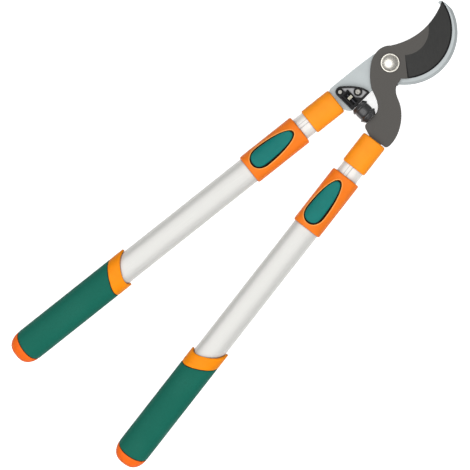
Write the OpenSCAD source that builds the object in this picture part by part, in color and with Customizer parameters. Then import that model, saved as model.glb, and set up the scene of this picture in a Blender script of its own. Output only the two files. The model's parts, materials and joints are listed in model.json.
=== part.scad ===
// Telescopic bypass loppers, closed and pushed together, lying on their back.
// Origin on the pivot axis at the resting plane, +Y to the blade tip, +X to the blade-side handle, +Z up.

/* [Blades] */
// Thickness of the fixed hook plate
hook_thick = 4.5; // [4:0.5:5]
// Thickness of the cutting blade plate
blade_thick = 4.2; // [4:0.1:4.4]
// Gap between the two plates, filled by the friction washer
plate_gap = 0.4; // [0.3:0.1:0.5]
// Radius of the cutting edge
edge_radius = 58.4; // [58:0.1:59]
// Radius of the hook's outer edge
hook_radius = 62.8; // [62.4:0.1:63.2]
// Radius of the hook's concave inner edge
throat_radius = 42; // [40:0.5:43]

/* [Pivot] */
// Radius of the pivot bolt's shank
bolt_radius = 5; // [4.5:0.5:5.5]
// Radius of the pivot bolt's flanged head
bolt_head_radius = 11.3; // [10:0.1:12]

/* [Handles] */
// Lean of each handle away from the centre line
handle_tilt = 6.8; // [6.6:0.1:7]
// Height of the handles' middle plane above the resting plane
handle_mid_z = 16; // [16:0.5:18]
// How far the blade-side handle starts beyond the hook-side one
blade_handle_shift = 6; // [5.5:0.5:6.5]
// Width of the inner tube
inner_w = 28.6; // [28.4:0.1:28.8]
// Thickness of the inner tube
inner_h = 18.6; // [18.4:0.1:18.8]
// Width of the outer tube
outer_w = 33.4; // [33.2:0.1:33.6]
// Thickness of the outer tube
outer_h = 23.4; // [23.2:0.1:23.6]
// Spacing of the locking holes
detent_pitch = 60; // [50:1:60]

/* [Grips] */
// Width of the grips
grip_w = 40; // [39:0.5:41]
// Thickness of the grips
grip_h = 32; // [31:0.5:32]
// Thickness of the soft sleeve
sleeve_skin = 1.2; // [1:0.1:1.4]

/* [Hidden] */
$fn = 72;
LEFT = -1;
RIGHT = 1;
eps = 0.01;
far = 200;

// Heights of the plates and the pivot hardware
hook_z = 11;
hook_top = hook_z + hook_thick;
blade_z = hook_top + plate_gap;
blade_top = blade_z + blade_thick;
pivot_play = 0.05;
front_washer_thick = 0.85;
front_washer_top = blade_top + pivot_play + front_washer_thick;
flange_thick = 1.3;
dome_radius = 9.5;
dome_height = 3.7;
bush_radius = 6.5;
washer_radius = 12;
back_washer_thick = 1.6;
nut_across_corners = 19.6;

// Blade outlines
edge_centre = [-16.4, 39.5];
hook_centre = [-12.8, 39];
throat_centre = [-12, 50.5];
blade_hub_radius = 21;
hook_hub_radius = 20.3;
grind_radius = 29.5;
micro_bevel = 2;
micro_thick = 1.3;
edge_thick = 0.35;
grind_corner = [5, 20];
grind_lean = -38.8;
grind_wall_lean = 31;
chamfer_w = 3.4;
chamfer_drop = 1.5;

// Bumper and its bracket, which sits on the hook's tang
bumper_y = -63.2;
bumper_z = 19.4;
bumper_x = 8.2;
bumper_nose_x = 30.5;
stud_radius = 2;
stud_start_x = -9.5;
stud_end_x = 24;
bumper_nut_x = -6.6;
bumper_nut_w = 3.6;
bumper_nut_size = 6;
bracket_height = 7;
bracket_floor = 5;
bracket_slot_floor = 0.8;
rivet_at = [-3, -51.7];
rivet_radius = 2;
rivet_head = 3.5;
screw_at = [-18, -67];
screw_radius = 1.4;
screw_head = 3;

// Handles, measured along each one from the pivot
tube_wall = 1.8;
outer_wall = 1.2;
slide_gap = 0.3;
tang_w = 18;
tang_start = 70;
tang_end = 124;
ferrule_start = 78.5;
ferrule_end = 120;
ferrule_w = 32.4;
ferrule_h = 25;
ferrule_front = 4.5;
insert_end = 127;
tang_rivets = [94, 110];
tang_rivet_radius = 2.4;
tube_start = ferrule_start + ferrule_front;
tube_end = 520;
plug_start = 512;
plug_end = 524;
groove_w = 5;
groove_floor = 8.2;
detent_radius = 2.3;
detent_count = 6;
collar_start = 134;
collar_end = 212;
collar_w = 38;
collar_h = 30;
collar_edge = 1.2;
outer_start = 190;
outer_end = 556;
bush_end = 211;

// Rocker button in the collar
button_u = -3;
lock_u = -2.8;
recess_start = 142;
recess_widest = 190;
recess_end = 206;
recess_half_w = 12.8;
recess_floor = 6.6;
button_gap = 1.2;
button_floor = 8.9;
button_proud = 0.4;
button_under_w = 34;
button_under_h = 25;
rocker_v = 170;
rocker_z = 10.35;
rocker_pin_radius = 0.7;
rocker_pin_half = 4.8;
rocker_half_length = 2.2;
rib_w = 5.6;
rib_bottom = 9.65;
ear_start = 167.5;
ear_end = 172.5;
ear_half_w = 5.2;
ear_gap = 6.6;
ear_top = 11.1;
seat_start = 176;
seat_end = 180;
seat_half_w = 4;
seat_top = 10.3;
bridge_left = -11;
bridge_left_top = 9.3;
bridge_right_top = 10.2;
bridge_low_top = 7.9;
lock_v = 152;
lock_radius = 2;
lock_tip = 8.5;
lock_top = 13.6;
spring_w = 5;
spring_thick = 0.4;
spring_end = 199;
spring_lift = 11.5;

// Grips: slanted mouth, soft sleeve and end cap
grip_start = 370;
mouth_v = 396;
mouth_lean = 0.45;
mouth_rise = 0.72;
band_v = 416.5;
band_lean = 0.45;
band_rise = 0.55;
cap_v = 547.5;
cap_lean = 0.05;
cap_rise = 0.63;
grip_end = 569;
dome_v = 546;
bore_end = 556;

function signed_power(x, e) = sign(x) * pow(abs(x), e);

// Superellipse section, a touch squarer than an ellipse
function oval(w, h, squareness = 2.35, steps = 60) = [
    for (i = [0:steps - 1])
        let (a = i * 360 / steps)
        [w / 2 * signed_power(cos(a), 2 / squareness), h / 2 * signed_power(sin(a), 2 / squareness)]];

// Points of a cubic curve from a to d, pulled by b and c, without its last point
function curve(a, b, c, d, steps = 12) = [
    for (i = [0:steps - 1])
        let (t = i / steps, s = 1 - t)
        s * s * s * a + 3 * s * s * t * b + 3 * s * t * t * c + t * t * t * d];

// Points of an arc from angle a0 to a1
function arc(r, a0, a1, steps = 12) = [for (i = [0:steps]) let (a = a0 + (a1 - a0) * i / steps) r * [cos(a), sin(a)]];

function flipped(points) = [for (i = [len(points) - 1:-1:0]) [-points[i][0], points[i][1]]];

// ---------- placing ----------

// Children drawn in a handle's own frame: x across, -y down the handle, z from its middle plane
module in_handle(side) {
    axis_offset = side == LEFT ? -4.5 : 42.6;
    shift = side == LEFT ? 0 : blade_handle_shift;
    rotate([0, 0, side * handle_tilt])
        translate([axis_offset, -shift, handle_mid_z])
            children();
}

// A section swept down the handle from v0 to v1
module down(v0, v1) {
    translate([0, -v0, 0])
        rotate([90, 0, 0])
            linear_extrude(v1 - v0)
                children();
}

module oval_bar(w, h, v0, v1) {
    down(v0, v1) polygon(oval(w, h));
}

// Everything on one side of a slanted plane across the handle: the head's side or the end's side
module slanted_half(v, lean, rise, head_side) {
    translate([0, -v, 0])
        rotate([0, 0, -atan(lean)])
            rotate([atan(rise / sqrt(1 + lean * lean)), 0, 0])
                translate([-far / 2, head_side ? 0 : -far, -far / 2])
                    cube(far);
}

// ---------- blades and pivot ----------

module hook_head_outline() {
    difference() {
        intersection() {
            translate(hook_centre) circle(hook_radius);
            polygon([[-12, -8], [24, -15], [26.2, -12.3], [60, -12.3], [80, 40], [60, 105], [20, 105],
                [8, 98.6], [-4, 98.2], [-9.5, 96.2], [-10.6, 94.8], [-10.2, 92], [-12, 60]]);
        }
        translate(throat_centre) circle(throat_radius);
    }
    circle(hook_hub_radius);
}

module hook_plate_outline() {
    polygon(concat(
        [[0, 10], [-18, 0], [-21.2, -6], [-23.5, -20], [-25.5, -36], [-27.5, -54]],
        curve([-29.2, -69], [-29.6, -73], [-29, -75], [-26.8, -75.7], 5),
        [[-26.8, -75.7], [-1.2, -78.7]],
        curve([2.5, -77], [5.5, -75.6], [8, -73.6], [8, -70.5], 5),
        curve([8, -70.5], [8, -60], [8, -50], [8, -40], 1),
        curve([8, -40], [8, -31], [17, -24], [24, -15], 6),
        [[24, -15], [26.2, -12.3], [18, 6]]));
}

module tang() {
    translate([-tang_w / 2, -tang_end]) square([tang_w, tang_end - tang_start]);
}

module tang_in_plan(side) {
    rotate(side * handle_tilt)
        translate([side == LEFT ? -4.5 : 42.6, side == LEFT ? 0 : -blade_handle_shift])
            tang();
}

module tang_rivet_holes(side, z0, h) {
    for (v = tang_rivets)
        in_handle(side)
            translate([0, -v, z0 - handle_mid_z])
                cylinder(r = tang_rivet_radius, h = h);
}

module hook_blade() {
    color("#B8C3C7")
        difference() {
            translate([0, 0, hook_z])
                linear_extrude(hook_thick) {
                    hook_head_outline();
                    hook_plate_outline();
                    tang_in_plan(LEFT);
                }
            hook_outer_chamfer();
            translate([0, 0, hook_z - 1]) cylinder(r = bolt_radius, h = hook_thick + 2);
            translate([rivet_at[0], rivet_at[1], hook_z - 1]) cylinder(r = rivet_radius, h = hook_thick + 2);
            translate([screw_at[0], screw_at[1], hook_z - 1]) cylinder(r = screw_radius, h = hook_thick + 2);
            tang_rivet_holes(LEFT, hook_z - 1, hook_thick + 2);
        }
}

module hook_outer_chamfer() {
    translate([hook_centre[0], hook_centre[1], hook_top])
        rotate([0, 0, -57])
            rotate_extrude(angle = 168)
                polygon([[hook_radius - chamfer_w, 0], [hook_radius + 0.6, -chamfer_drop * 1.18],
                    [hook_radius + 0.6, 1], [hook_radius - chamfer_w, 1]]);
}

module blade_head_outline() {
    intersection() {
        translate(edge_centre) circle(edge_radius);
        polygon(concat(
            [[0, -14], [23.2, -5.5], [38, 12.6], [80, 40], [40, 110]],
            curve([-8.3, 97.4], [5, 68], [2, 40], [-14.5, 15], 24),
            [[-14.5, 15]]));
    }
}

module blade_tang_outline() {
    polygon(concat(
        arc(blade_hub_radius, 134, 200, 14),
        curve([-20, -7.5], [-17, -18], [-3, -33], [8, -38.3], 12),
        curve([8, -38.3], [16, -41], [30.5, -45], [30.8, -57], 12),
        [[30.8, -57]],
        curve([30.8, -71], [30.8, -75], [33, -76.2], [37, -77.2], 5),
        [[37, -77.2], [42.5, -79]],
        curve([65.8, -76.1], [69, -75.5], [69.8, -73], [69.5, -68], 5),
        curve([69.5, -68], [69, -50], [54, -30], [38, -24.3], 14),
        curve([38, -24.3], [32, -22], [25, -18], [24, -11], 8),
        [[24, -11], [23.2, -5.5], [10, 10]]));
}

module blade_grind() {
    intersection() {
        translate([edge_centre[0], edge_centre[1], blade_z])
            rotate_extrude()
                polygon([[grind_radius, blade_thick], [edge_radius - micro_bevel, micro_thick],
                    [edge_radius + 0.1, edge_thick], [edge_radius + 2, edge_thick],
                    [edge_radius + 2, blade_thick + 1], [grind_radius, blade_thick + 1]]);
        translate([grind_corner[0], grind_corner[1], blade_top])
            rotate([0, 0, grind_lean])
                rotate([grind_wall_lean, 0, 0])
                    translate([-far / 2, 0, -far / 2])
                        cube(far);
    }
}

module cutting_blade() {
    color("#5D5B57")
        difference() {
            translate([0, 0, blade_z])
                linear_extrude(blade_thick) {
                    blade_head_outline();
                    blade_tang_outline();
                    tang_in_plan(RIGHT);
                }
            blade_grind();
            translate([0, 0, blade_z - 1]) cylinder(r = bush_radius, h = blade_thick + 2);
            tang_rivet_holes(RIGHT, blade_z - 1, blade_thick + 2);
        }
}

module pivot_bolt() {
    sphere_radius = (dome_radius * dome_radius + dome_height * dome_height) / (2 * dome_height);
    flange_top = front_washer_top + flange_thick;
    color("#E8E4DA") {
        cylinder(r = bolt_radius, h = front_washer_top + eps);
        translate([0, 0, front_washer_top]) cylinder(r = bolt_head_radius, h = flange_thick);
        intersection() {
            translate([0, 0, flange_top + dome_height - sphere_radius]) sphere(r = sphere_radius);
            translate([0, 0, flange_top - eps]) cylinder(r = dome_radius, h = dome_height + 1);
        }
    }
}

module ring(r_out, r_in, z0, h) {
    translate([0, 0, z0])
        difference() {
            cylinder(r = r_out, h = h);
            translate([0, 0, -1]) cylinder(r = r_in, h = h + 2);
        }
}

module pivot_bush() {
    color("#B08D57") ring(bush_radius, bolt_radius + pivot_play, blade_z, blade_thick);
}

module front_washer() {
    color("#C9C9C4") ring(bolt_head_radius, bolt_radius, blade_top + pivot_play, front_washer_thick);
}

module friction_washer() {
    color("#E6DFC8") ring(washer_radius, bolt_radius, hook_top, plate_gap - pivot_play);
}

module back_washer() {
    color("#C9C9C4") ring(washer_radius, bolt_radius, hook_z - back_washer_thick, back_washer_thick);
}

module pivot_nut() {
    color("#D5D5D0")
        difference() {
            cylinder(d = nut_across_corners, h = hook_z - back_washer_thick, $fn = 6);
            translate([0, 0, -1]) cylinder(r = bolt_radius, h = hook_z + 2);
        }
}

// ---------- bumper ----------

function bracket_outline() = concat(
    curve([8, -43.2], [7.6, -42.2], [6.6, -42], [5.5, -42.1], 3),
    curve([5.5, -42.1], [-4, -43], [-14, -52], [-22.3, -61.6], 8),
    curve([-22.3, -61.6], [-25.6, -66], [-23.5, -72.2], [-18.5, -72.2], 8),
    [[-18.5, -72.2], [8, -72.2]]);

module bracket_pocket_outline() {
    polygon(concat(
        [[5.4, -44.5]],
        curve([3.5, -44.6], [-4, -45.8], [-12, -53], [-20.4, -62.8], 8),
        [[-20.4, -62.8], [-13.6, -62.8], [-13.6, -58.6], [-0.5, -58.6], [5.4, -53.6]]));
}

module bracket_frame() {
    color("#232224")
        difference() {
            translate([0, 0, hook_top])
                linear_extrude(bracket_height)
                    polygon(bracket_outline());
            difference() {
                translate([0, 0, hook_top - 1])
                    linear_extrude(bracket_height + 2)
                        bracket_pocket_outline();
                translate([rivet_at[0], rivet_at[1], hook_top - 2])
                    cylinder(r = rivet_head + 1.6, h = bracket_height + 1);
            }
            translate([-12, -67.4, hook_top + bracket_slot_floor]) cube([16.5, 8.2, bracket_height]);
            translate([-12.4, -70.6, hook_top + 3.6]) cube([15.5, 1.6, bracket_height]);
            translate([rivet_at[0], rivet_at[1], hook_top - 1]) cylinder(r = rivet_radius, h = bracket_height + 2);
            translate([screw_at[0], screw_at[1], hook_top - 1]) cylinder(r = screw_radius, h = bracket_height + 2);
            translate([screw_at[0], screw_at[1], hook_top + 4]) cylinder(r = screw_head + 0.5, h = bracket_height);
            translate([0, bumper_y, bumper_z]) rotate([0, 90, 0]) cylinder(r = stud_radius, h = 12);
        }
}

module bracket_plate() {
    color("#77777A")
        difference() {
            translate([0, 0, hook_top])
                linear_extrude(bracket_floor)
                    bracket_pocket_outline();
            translate([rivet_at[0], rivet_at[1], hook_top - 1])
                cylinder(r = rivet_head + 1.6, h = bracket_floor + 2);
        }
}

module bracket_rivet() {
    color("#A8A496")
        translate([rivet_at[0], rivet_at[1], 0]) {
            translate([0, 0, hook_z - 1]) cylinder(r = rivet_radius + 1.2, h = 1);
            translate([0, 0, hook_z - eps]) cylinder(r = rivet_radius, h = hook_thick + bracket_height - 1 + 2 * eps);
            translate([0, 0, hook_top + bracket_height - 1]) cylinder(r1 = rivet_head, r2 = rivet_head - 0.8, h = 1.3);
        }
}

module bracket_screw() {
    color("#9C9A95")
        difference() {
            translate([screw_at[0], screw_at[1], 0]) {
                translate([0, 0, hook_z]) cylinder(r = screw_radius, h = hook_thick + 4 + eps);
                translate([0, 0, hook_top + 4]) cylinder(r1 = screw_head, r2 = screw_head - 0.7, h = 1.8);
            }
            translate([screw_at[0], screw_at[1], hook_top + 5.4])
                for (turn = [0, 90])
                    rotate([0, 0, 45 + turn])
                        translate([-1.7, -0.4, 0])
                            cube([3.4, 0.8, 1]);
        }
}

module bumper_stud() {
    color("#B5B2A8")
        translate([stud_start_x, bumper_y, bumper_z])
            rotate([0, 90, 0])
                cylinder(r = stud_radius, h = stud_end_x - stud_start_x);
}

module bumper_nut() {
    color("#D8D2BC")
        difference() {
            translate([bumper_nut_x, bumper_y - bumper_nut_size / 2, bumper_z - bumper_nut_size / 2])
                cube([bumper_nut_w, bumper_nut_size, bumper_nut_size]);
            translate([bumper_nut_x - 1, bumper_y, bumper_z])
                rotate([0, 90, 0])
                    cylinder(r = stud_radius, h = bumper_nut_w + 2);
        }
}

// Turned about the stud: two flanges, a waist and a tapered nose
module bumper_body() {
    length = bumper_nose_x - bumper_x;
    color("#1F1F20")
        translate([bumper_x, bumper_y, bumper_z])
            rotate([0, 90, 0])
                difference() {
                    rotate_extrude()
                        polygon([[0, 0], [8.5, 0], [11.2, 4], [11.2, 4.8], [10, 6.4], [10, 14.6], [11.4, 16.4],
                            [11.4, 17.6], [7.5, length], [0, length]]);
                    translate([0, 0, -1]) cylinder(r = stud_radius, h = stud_end_x - bumper_x + 1);
                }
}

// ---------- handle parts, in the handle's own frame ----------

module tang_slot(side) {
    plate_z = side == LEFT ? hook_z : blade_z;
    plate_h = side == LEFT ? hook_thick : blade_thick;
    translate([-tang_w / 2, -tang_end, plate_z - handle_mid_z])
        cube([tang_w, tang_end - tang_start, plate_h]);
}

module tang_rivet(v) {
    color("#B9B9B5")
        translate([0, -v, -inner_h / 2 + 0.1])
            cylinder(r = tang_rivet_radius, h = inner_h - 0.2);
}

module ferrule(side) {
    color("#FF9528")
        difference() {
            oval_bar(ferrule_w, ferrule_h, ferrule_start, ferrule_end);
            oval_bar(inner_w, inner_h, tube_start, ferrule_end + 1);
            tang_slot(side);
        }
}

module tang_insert(side) {
    color("#6E6E70")
        difference() {
            oval_bar(inner_w - 2 * tube_wall, inner_h - 2 * tube_wall, tube_start, insert_end);
            tang_slot(side);
            for (v = tang_rivets)
                translate([0, -v, -inner_h])
                    cylinder(r = tang_rivet_radius, h = 2 * inner_h);
        }
}

module inner_tube() {
    color("#F0F0EE")
        difference() {
            oval_bar(inner_w, inner_h, tube_start, tube_end);
            oval_bar(inner_w - 2 * tube_wall, inner_h - 2 * tube_wall, tube_start - 1, tube_end + 1);
            translate([lock_u - groove_w / 2, -tube_end - 1, groove_floor])
                cube([groove_w, tube_end - tube_start + 2, inner_h]);
            for (v = tang_rivets)
                translate([0, -v, -inner_h])
                    cylinder(r = tang_rivet_radius, h = 2 * inner_h);
            for (i = [0:detent_count - 1])
                translate([lock_u, -lock_v - i * detent_pitch, 0])
                    cylinder(r = detent_radius, h = inner_h);
        }
}

module end_plug() {
    w = outer_w - 2 * outer_wall - 2 * slide_gap;
    h = outer_h - 2 * outer_wall - 2 * slide_gap;
    color("#3B3B3D")
        difference() {
            oval_bar(w, h, plug_start, plug_end);
            oval_bar(inner_w, inner_h, plug_start - 1, tube_end);
        }
}

module outer_tube() {
    color("#DCDDD9")
        difference() {
            oval_bar(outer_w, outer_h, outer_start, outer_end);
            oval_bar(outer_w - 2 * outer_wall, outer_h - 2 * outer_wall, outer_start - 1, outer_end + 1);
            button_recess();
        }
}

module guide_bush() {
    color("#4A4A4C")
        difference() {
            oval_bar(outer_w - 2 * outer_wall, outer_h - 2 * outer_wall, outer_start, bush_end);
            oval_bar(inner_w + 2 * slide_gap, inner_h + 2 * slide_gap, outer_start - 1, bush_end + 1);
            button_recess();
        }
}

// Egg outline of the button, drawn in by a gap all round
function half_egg(gap) = concat(
    curve([0, -recess_start - gap], [7, -recess_start - gap], [recess_half_w - gap, -162],
        [recess_half_w - gap, -recess_widest], 12),
    curve([recess_half_w - gap, -recess_widest], [recess_half_w - gap, -199],
        [7.5, -recess_end + gap], [0, -recess_end + gap], 8));

module egg_outline(gap) {
    right_half = half_egg(gap);
    left_half = flipped(right_half);
    translate([button_u, 0])
        polygon(concat(right_half, [[0, -recess_end + gap]], [for (i = [0:len(left_half) - 2]) left_half[i]]));
}

module button_recess() {
    translate([0, 0, recess_floor])
        linear_extrude(collar_h)
            egg_outline(0);
}

module collar() {
    color("#FF8030") {
        difference() {
            collar_blank();
            oval_bar(inner_w + 2 * slide_gap, inner_h + 2 * slide_gap, collar_start - 1, outer_start + 1);
            oval_bar(outer_w, outer_h, outer_start, collar_end + 1);
            difference() {
                button_recess();
                rocker_ears();
            }
            rocker_pin_hole();
        }
    }
}

// Plain collar with its two rims eased by a step-free chamfer
module collar_blank() {
    oval_bar(collar_w - 2 * collar_edge, collar_h - 2 * collar_edge, collar_start, collar_end);
    oval_bar(collar_w - collar_edge, collar_h - collar_edge, collar_start + 0.4 * collar_edge,
        collar_end - 0.4 * collar_edge);
    oval_bar(collar_w, collar_h, collar_start + collar_edge, collar_end - collar_edge);
}

// A bar across the recess under the button, which steps down to the left under the button's skirt
module recess_bar(v0, v1, half_w, top) {
    length = v1 - v0;
    translate([bridge_left - far, -v1, 0]) cube([far, length, bridge_low_top]);
    translate([bridge_left, -v1, 0]) cube([lock_u - bridge_left, length, bridge_left_top]);
    translate([lock_u, -v1, 0]) cube([far, length, bridge_right_top]);
    translate([lock_u - half_w, -v1, 0]) cube([2 * half_w, length, top]);
}

// Two ears that hold the rocker's pin, and the seat that the spring is fixed to
module rocker_ears() {
    difference() {
        recess_bar(ear_start, ear_end, ear_half_w, ear_top);
        translate([lock_u - ear_gap / 2, -far, -1]) cube([ear_gap, far, far]);
    }
    recess_bar(seat_start, seat_end, seat_half_w, seat_top);
}

module rocker_pin_hole() {
    translate([lock_u - rocker_pin_half, -rocker_v, rocker_z])
        rotate([0, 90, 0])
            cylinder(r = rocker_pin_radius, h = 2 * rocker_pin_half);
}

module button_pin() {
    color("#C4C4C0") rocker_pin_hole();
}

module button_spring() {
    color("#B7B9BA")
        translate([lock_u + spring_w / 2, 0, 0])
            rotate([90, 0, -90])
                linear_extrude(spring_w)
                    polygon([[seat_start, seat_top], [seat_end, seat_top], [spring_end, spring_lift],
                        [spring_end, spring_lift + spring_thick], [seat_end, seat_top + spring_thick],
                        [seat_start, seat_top + spring_thick]]);
}

module release_button() {
    color("#0E786C")
        difference() {
            union() {
                intersection() {
                    translate([0, 0, button_floor]) linear_extrude(collar_h) egg_outline(button_gap);
                    difference() {
                        oval_bar(collar_w + 2 * button_proud, collar_h + 2 * button_proud, collar_start, collar_end);
                        oval_bar(button_under_w, button_under_h, collar_start - 1, collar_end + 1);
                    }
                }
                translate([lock_u - rib_w / 2, -rocker_v - rocker_half_length, rib_bottom])
                    cube([rib_w, 2 * rocker_half_length, button_under_h / 2 + 1 - rib_bottom]);
            }
            translate([lock_u - rib_w, -rocker_v, rocker_z])
                rotate([0, 90, 0])
                    cylinder(r = rocker_pin_radius + pivot_play, h = 2 * rib_w);
            translate([lock_u, -lock_v, 0]) cylinder(r = lock_radius, h = lock_top);
        }
}

module lock_pin() {
    color("#BDBDB9")
        translate([lock_u, -lock_v, lock_tip])
            cylinder(r = lock_radius, h = lock_top - lock_tip);
}

// Side outline of the grip's rounded end, for a grip of this width, seen from above or from the side
function rounded_end(w) = concat(
    [[-w / 2, far], [-w / 2, 0]],
    [for (i = [1:15])
        let (a = 180 + i * 11.25)
        [w / 2 * signed_power(cos(a), 0.75), (grip_end - dome_v) * signed_power(sin(a), 0.85)]],
    [[w / 2, 0], [w / 2, far]]);

// Whole grip before its mouth and sleeve are cut, rounded off at its end in both views
module grip_blank() {
    intersection() {
        oval_bar(grip_w, grip_h, grip_start, grip_end);
        translate([0, -dome_v, -grip_h])
            linear_extrude(2 * grip_h)
                polygon(rounded_end(grip_w));
        translate([-grip_w, -dome_v, 0])
            rotate([0, 90, 0])
                linear_extrude(2 * grip_w)
                    polygon(rounded_end(grip_h));
    }
}

module grip_core(side) {
    color("#FD8A26")
        difference() {
            grip_blank();
            for (face = [-1, 1])
                slanted_half(mouth_v, -side * mouth_lean, face * mouth_rise, true);
            sleeve_shell(side);
            oval_bar(outer_w, outer_h, outer_start, bore_end);
        }
}

module sleeve_shell(side) {
    difference() {
        oval_bar(grip_w + 1, grip_h + 1, grip_start + 1, grip_end);
        oval_bar(grip_w - 2 * sleeve_skin, grip_h - 2 * sleeve_skin, grip_start, grip_end + 1);
        for (face = [-1, 1])
            slanted_half(band_v, -side * band_lean, face * band_rise, true);
        intersection_for (face = [-1, 1])
            slanted_half(cap_v, -side * cap_lean, face * cap_rise, false);
    }
}

module grip_sleeve(side) {
    color("#216E5F")
        intersection() {
            grip_blank();
            sleeve_shell(side);
        }
}

// ---------- nodes ----------

hook_blade();
cutting_blade();
pivot_bolt();
pivot_bush();
front_washer();
friction_washer();
back_washer();
pivot_nut();
bracket_frame();
bracket_plate();
bracket_rivet();
bracket_screw();
bumper_stud();
bumper_nut();
bumper_body();
in_handle(LEFT) ferrule(LEFT);  // left_ferrule
in_handle(LEFT) tang_insert(LEFT);  // left_tang_insert
in_handle(LEFT) tang_rivet(tang_rivets[0]);  // left_tang_rivet_upper
in_handle(LEFT) tang_rivet(tang_rivets[1]);  // left_tang_rivet_lower
in_handle(LEFT) inner_tube();  // left_inner_tube
in_handle(LEFT) end_plug();  // left_end_plug
in_handle(LEFT) outer_tube();  // left_outer_tube
in_handle(LEFT) guide_bush();  // left_guide_bush
in_handle(LEFT) collar();  // left_collar
in_handle(LEFT) release_button();  // left_release_button
in_handle(LEFT) lock_pin();  // left_lock_pin
in_handle(LEFT) button_pin();  // left_button_pin
in_handle(LEFT) button_spring();  // left_button_spring
in_handle(LEFT) grip_core(LEFT);  // left_grip_core
in_handle(LEFT) grip_sleeve(LEFT);  // left_grip_sleeve
in_handle(RIGHT) ferrule(RIGHT);  // right_ferrule
in_handle(RIGHT) tang_insert(RIGHT);  // right_tang_insert
in_handle(RIGHT) tang_rivet(tang_rivets[0]);  // right_tang_rivet_upper
in_handle(RIGHT) tang_rivet(tang_rivets[1]);  // right_tang_rivet_lower
in_handle(RIGHT) inner_tube();  // right_inner_tube
in_handle(RIGHT) end_plug();  // right_end_plug
in_handle(RIGHT) outer_tube();  // right_outer_tube
in_handle(RIGHT) guide_bush();  // right_guide_bush
in_handle(RIGHT) collar();  // right_collar
in_handle(RIGHT) release_button();  // right_release_button
in_handle(RIGHT) lock_pin();  // right_lock_pin
in_handle(RIGHT) button_pin();  // right_button_pin
in_handle(RIGHT) button_spring();  // right_button_spring
in_handle(RIGHT) grip_core(RIGHT);  // right_grip_core
in_handle(RIGHT) grip_sleeve(RIGHT);  // right_grip_sleeve
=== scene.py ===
"""Looks of the telescopic bypass loppers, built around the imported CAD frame."""

import json
import math

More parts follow.
